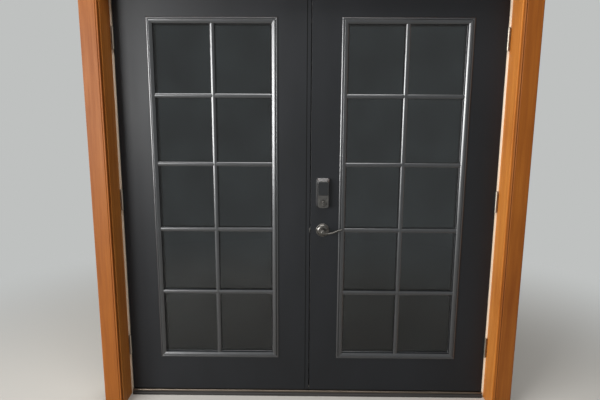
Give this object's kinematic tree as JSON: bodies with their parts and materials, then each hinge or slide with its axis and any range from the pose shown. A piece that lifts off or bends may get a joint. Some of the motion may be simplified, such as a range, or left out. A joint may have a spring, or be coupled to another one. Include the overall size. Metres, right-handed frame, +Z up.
{
  "type": "french doors",
  "caption": "Pair of in-swinging glazed entrance doors with divided lights, hung in a jamb frame with timber-lined reveal, casings, sill, lever set and lock",
  "frame": {"origin": "On the underside of the sill, midway between the jambs, in the plane of the leaves' room face", "axes": "+X to the right seen from the room, +Y from the room to the outside, +Z up"},
  "size_m": [2.039, 0.273, 2.141],
  "materials": {
    "sill_composite": "moulded composite, charcoal grey",
    "sill_aluminium": "dark bronze anodised, ribbed",
    "sill_cap_bronze": "dark bronze anodised",
    "jamb_paint": "primed timber under cream paint",
    "seal_foam": "black foam and rubber",
    "stained_timber": "orange-brown stain under satin varnish",
    "hinge_nickel": "satin nickel plate",
    "strike_steel": "satin plated steel",
    "door_paint": "charcoal satin paint over primed timber",
    "light_frame_paint": "moulded light frame and bars in the same charcoal satin paint",
    "grey_glass": "float glass in a grey tint",
    "spacer_metal": "mill finish",
    "aged_bronze": "aged bronze plate, dark pewter sheen",
    "gloss_black": "gloss black",
    "key_brass": "turned brass"
  },
  "bodies": {
    "frame": {"sill_base": "sill_composite", "sill_tread": "sill_aluminium", "sill_cap": "sill_cap_bronze", "left_jamb": "jamb_paint", "right_jamb": "jamb_paint", "head_jamb": "jamb_paint", "weatherstrips": "seal_foam", "left_lining": "stained_timber", "right_lining": "stained_timber", "head_lining": "stained_timber", "left_casing": "stained_timber", "right_casing": "stained_timber", "head_casing": "stained_timber", "left_brickmould": "jamb_paint", "right_brickmould": "jamb_paint", "head_brickmould": "jamb_paint", "frame_hinge_leaves": "hinge_nickel", "hinge_pins": "hinge_nickel", "head_bolt_plate": "strike_steel", "sill_bolt_plate": "strike_steel"},
    "left_leaf": {"left_slab": "door_paint", "left_inside_light_frame": "light_frame_paint", "left_outside_light_frame": "light_frame_paint", "left_inside_grid": "light_frame_paint", "left_outside_grid": "light_frame_paint", "left_panes": "grey_glass", "left_glass_spacer": "spacer_metal", "left_sweep": "seal_foam", "left_door_hinge_leaves": "hinge_nickel", "astragal": "door_paint", "meeting_seal": "seal_foam", "latch_strike": "strike_steel", "deadbolt_strike": "strike_steel"},
    "right_leaf": {"right_slab": "door_paint", "right_inside_light_frame": "light_frame_paint", "right_outside_light_frame": "light_frame_paint", "right_inside_grid": "light_frame_paint", "right_outside_grid": "light_frame_paint", "right_panes": "grey_glass", "right_glass_spacer": "spacer_metal", "right_sweep": "seal_foam", "right_door_hinge_leaves": "hinge_nickel", "latch_case": "strike_steel", "deadbolt_case": "strike_steel", "inside_rosette": "aged_bronze", "outside_rosette": "aged_bronze", "lock_housing": "aged_bronze", "battery_cover": "gloss_black", "keypad_housing": "aged_bronze", "touch_panel": "gloss_black"},
    "lever_set": {"inside_lever": "aged_bronze", "outside_lever": "aged_bronze"},
    "latch": {"latch_bolt": "strike_steel"},
    "thumbturn": {"thumbturn": "aged_bronze"},
    "deadbolt": {"deadbolt": "strike_steel"},
    "flush_bolt_top": {"flush_bolt_top": "strike_steel"},
    "flush_bolt_bottom": {"flush_bolt_bottom": "strike_steel"},
    "key_plug": {"key_plug": "key_brass"}
  },
  "joints": [
    {"name": "left_leaf_swing", "type": "hinge", "parent": "frame", "child": "left_leaf", "pos_m": [-0.921, -0.007, 1.045], "axis": [0, 0, -1], "range_deg": [0, 95]},
    {"name": "right_leaf_swing", "type": "hinge", "parent": "frame", "child": "right_leaf", "pos_m": [0.921, -0.007, 1.045], "axis": [0, 0, 1], "range_deg": [0, 95]},
    {"name": "lever_turn", "type": "hinge", "parent": "right_leaf", "child": "lever_set", "pos_m": [0.0715, 0.02225, 0.898], "axis": [0, 1, 0], "range_deg": [0, 50], "stiffness_Nm_per_rad": 1.5, "springref_deg": -28.65},
    {"name": "latch_slide", "type": "slide", "parent": "right_leaf", "child": "latch", "axis": [1, 0, 0], "range_m": [0, 0.0125]},
    {"name": "thumbturn_turn", "type": "hinge", "parent": "right_leaf", "child": "thumbturn", "pos_m": [0.0715, 0, 1.038], "axis": [0, 1, 0], "range_deg": [0, 90]},
    {"name": "deadbolt_slide", "type": "slide", "parent": "right_leaf", "child": "deadbolt", "axis": [-1, 0, 0], "range_m": [0, 0.025]},
    {"name": "key_plug_turn", "type": "hinge", "parent": "right_leaf", "child": "key_plug", "pos_m": [0.0715, 0.06, 1.038], "axis": [0, 1, 0], "range_deg": [0, 90]},
    {"name": "flush_bolt_top_slide", "type": "slide", "parent": "left_leaf", "child": "flush_bolt_top", "axis": [0, 0, 1], "range_m": [0, 0.015]},
    {"name": "flush_bolt_bottom_slide", "type": "slide", "parent": "left_leaf", "child": "flush_bolt_bottom", "axis": [0, 0, -1], "range_m": [0, 0.015]}
  ],
  "couplings": [
    {"joint": "latch_slide", "follows": "lever_turn", "m_per_rad": 0.01431},
    {"joint": "deadbolt_slide", "follows": "thumbturn_turn", "m_per_rad": 0.01591}
  ]
}
